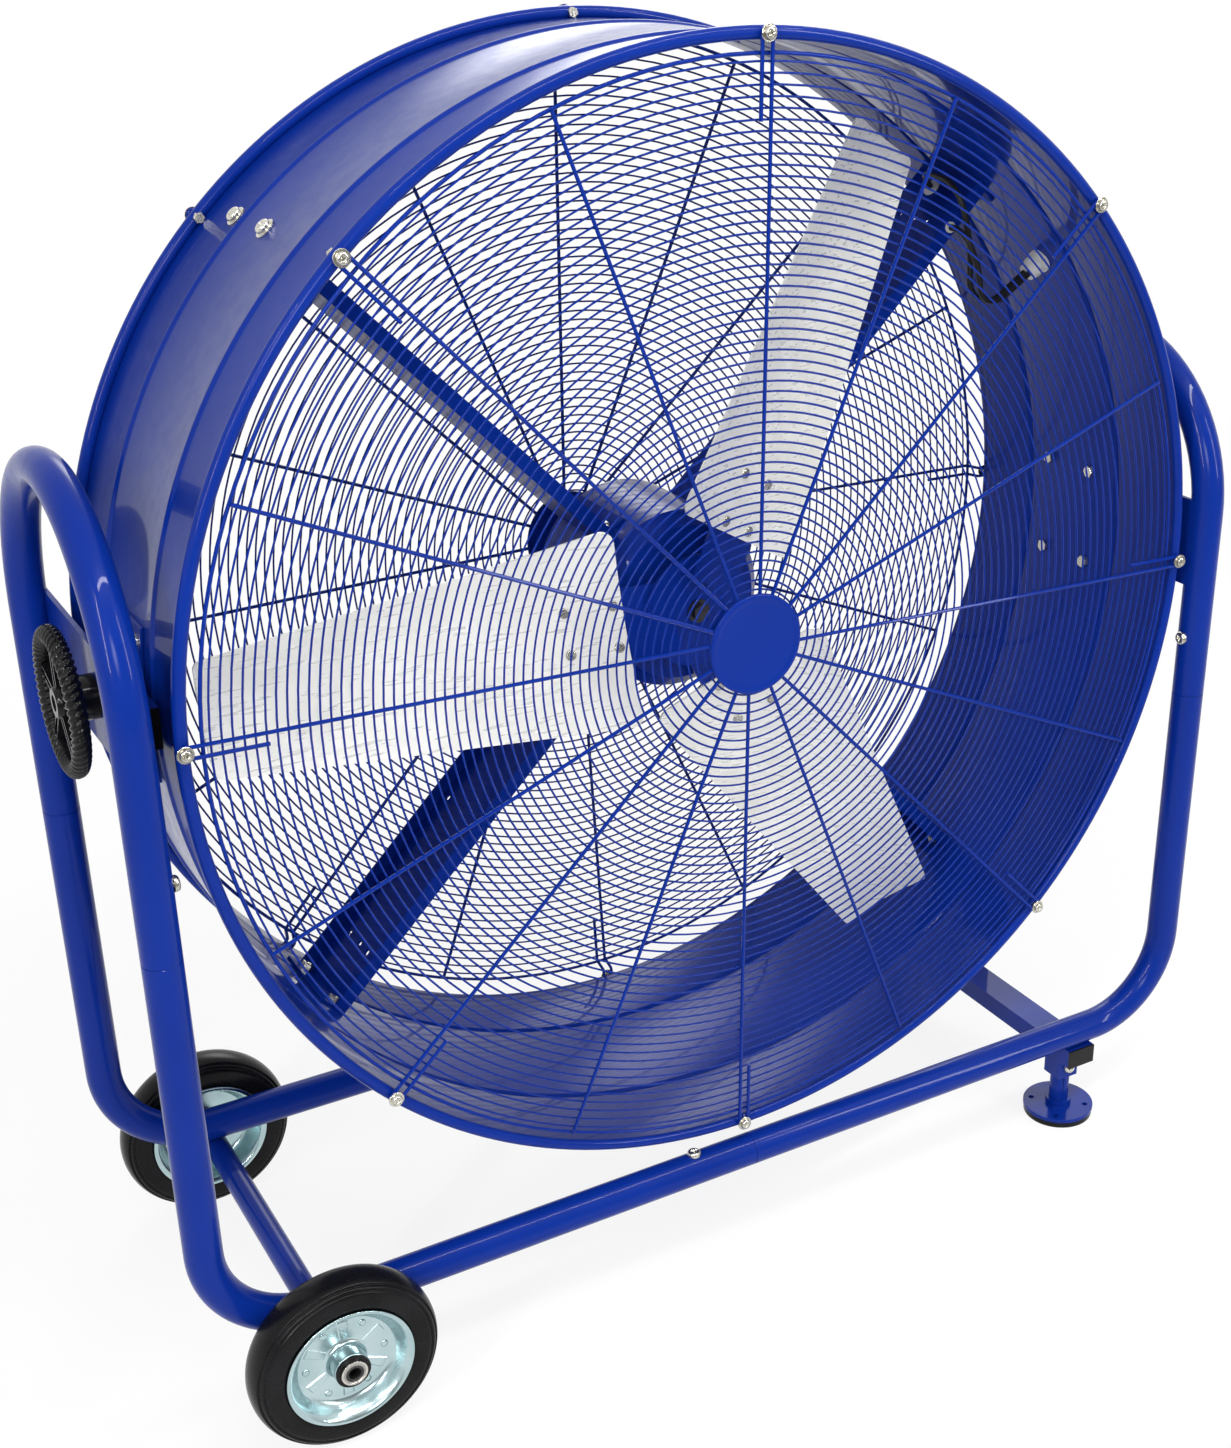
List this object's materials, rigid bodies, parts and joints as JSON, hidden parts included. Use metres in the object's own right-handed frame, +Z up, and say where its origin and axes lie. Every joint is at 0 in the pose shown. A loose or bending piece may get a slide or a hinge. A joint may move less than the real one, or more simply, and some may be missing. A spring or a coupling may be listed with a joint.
{
  "type": "drum fan",
  "caption": "Large drum fan with wire guards, tilting between two tube loops on a wheeled frame with levelling feet.",
  "frame": {"origin": "middle of the fan's footprint, on the floor, halfway between its widest points left and right and between the spindle ends front and back", "axes": "+Z up, -Y the way the air blows (the front guard faces -Y), +X to the right seen from the front, along the tilt axis"},
  "size_m": [1.3034, 0.53, 1.3563],
  "materials": {
    "blue_paint": "deep blue gloss powder coat",
    "black_plastic": "moulded satin black",
    "pale_plastic": "moulded off-white",
    "black_rubber": "moulded black rubber",
    "zinc_plated": "bright zinc plate",
    "mill_aluminium": "satin mill finish",
    "motor_steel": "bare machined steel"
  },
  "bodies": {
    "frame": {"upper_loop_left": "blue_paint", "upper_loop_right": "blue_paint", "base_tube_front_left": "blue_paint", "base_tube_front_right": "blue_paint", "base_tube_rear_left": "blue_paint", "base_tube_rear_right": "blue_paint", "joint_sleeves": "zinc_plated", "frame_joint_screws": "zinc_plated", "pivot_plate_left": "blue_paint", "pivot_plate_right": "blue_paint", "axle_tube": "blue_paint", "axle_spindle": "zinc_plated", "cross_member": "blue_paint", "cross_member_caps": "black_plastic", "foot_front": "blue_paint", "foot_rear": "blue_paint", "foot_pads": "black_rubber", "foot_set_screws": "zinc_plated"},
    "drum": {"drum_shell": "blue_paint", "front_guard": "blue_paint", "rear_guard": "blue_paint", "guard_caps": "blue_paint", "guard_screws": "zinc_plated", "motor_body": "blue_paint", "motor_covers": "blue_paint", "motor_bearings": "motor_steel", "motor_stator": "motor_steel", "motor_arm_upper_right": "blue_paint", "motor_arm_upper_left": "blue_paint", "motor_arm_lower_left": "blue_paint", "motor_arm_lower_right": "blue_paint", "arm_bolts": "zinc_plated", "pivot_bracket_left": "blue_paint", "pivot_bracket_right": "blue_paint", "pivot_stud_left": "zinc_plated", "pivot_stud_right": "zinc_plated", "friction_discs": "black_plastic", "bracket_caps": "black_plastic", "bracket_bolts": "zinc_plated", "lock_nut": "zinc_plated", "lead_glands": "pale_plastic", "motor_leads": "black_plastic", "lead_clips": "black_plastic"},
    "rotor": {"motor_rotor_core": "motor_steel", "motor_shaft": "motor_steel", "rotor_spider": "blue_paint", "blade_1": "mill_aluminium", "blade_2": "mill_aluminium", "blade_3": "mill_aluminium", "blade_rivets": "zinc_plated", "hub_bolt": "zinc_plated"},
    "handwheel": {"handwheel": "black_plastic", "clamp_boss": "black_plastic"},
    "front_wheel": {"front_wheel_tyre": "black_rubber", "front_wheel_rim": "zinc_plated", "front_wheel_bush": "black_plastic"},
    "rear_wheel": {"rear_wheel_tyre": "black_rubber", "rear_wheel_rim": "zinc_plated", "rear_wheel_bush": "black_plastic"}
  },
  "joints": [
    {"name": "drum_tilt", "type": "hinge", "parent": "frame", "child": "drum", "pos_m": [0.00365, 0, 0.767], "axis": [1, 0, 0], "range_deg": [-90, 90]},
    {"name": "rotor_spin", "type": "hinge", "parent": "drum", "child": "rotor", "pos_m": [0.00365, -0.005, 0.762], "axis": [0, 1, 0], "continuous": true},
    {"name": "handwheel_turn", "type": "hinge", "parent": "drum", "child": "handwheel", "pos_m": [-0.64235, 0, 0.767], "axis": [-1, 0, 0], "range_deg": [0, 360]},
    {"name": "front_wheel_spin", "type": "hinge", "parent": "frame", "child": "front_wheel", "pos_m": [-0.51135, -0.232, 0.1], "axis": [0, 1, 0], "continuous": true},
    {"name": "rear_wheel_spin", "type": "hinge", "parent": "frame", "child": "rear_wheel", "pos_m": [-0.51135, 0.232, 0.1], "axis": [0, 1, 0], "continuous": true}
  ]
}
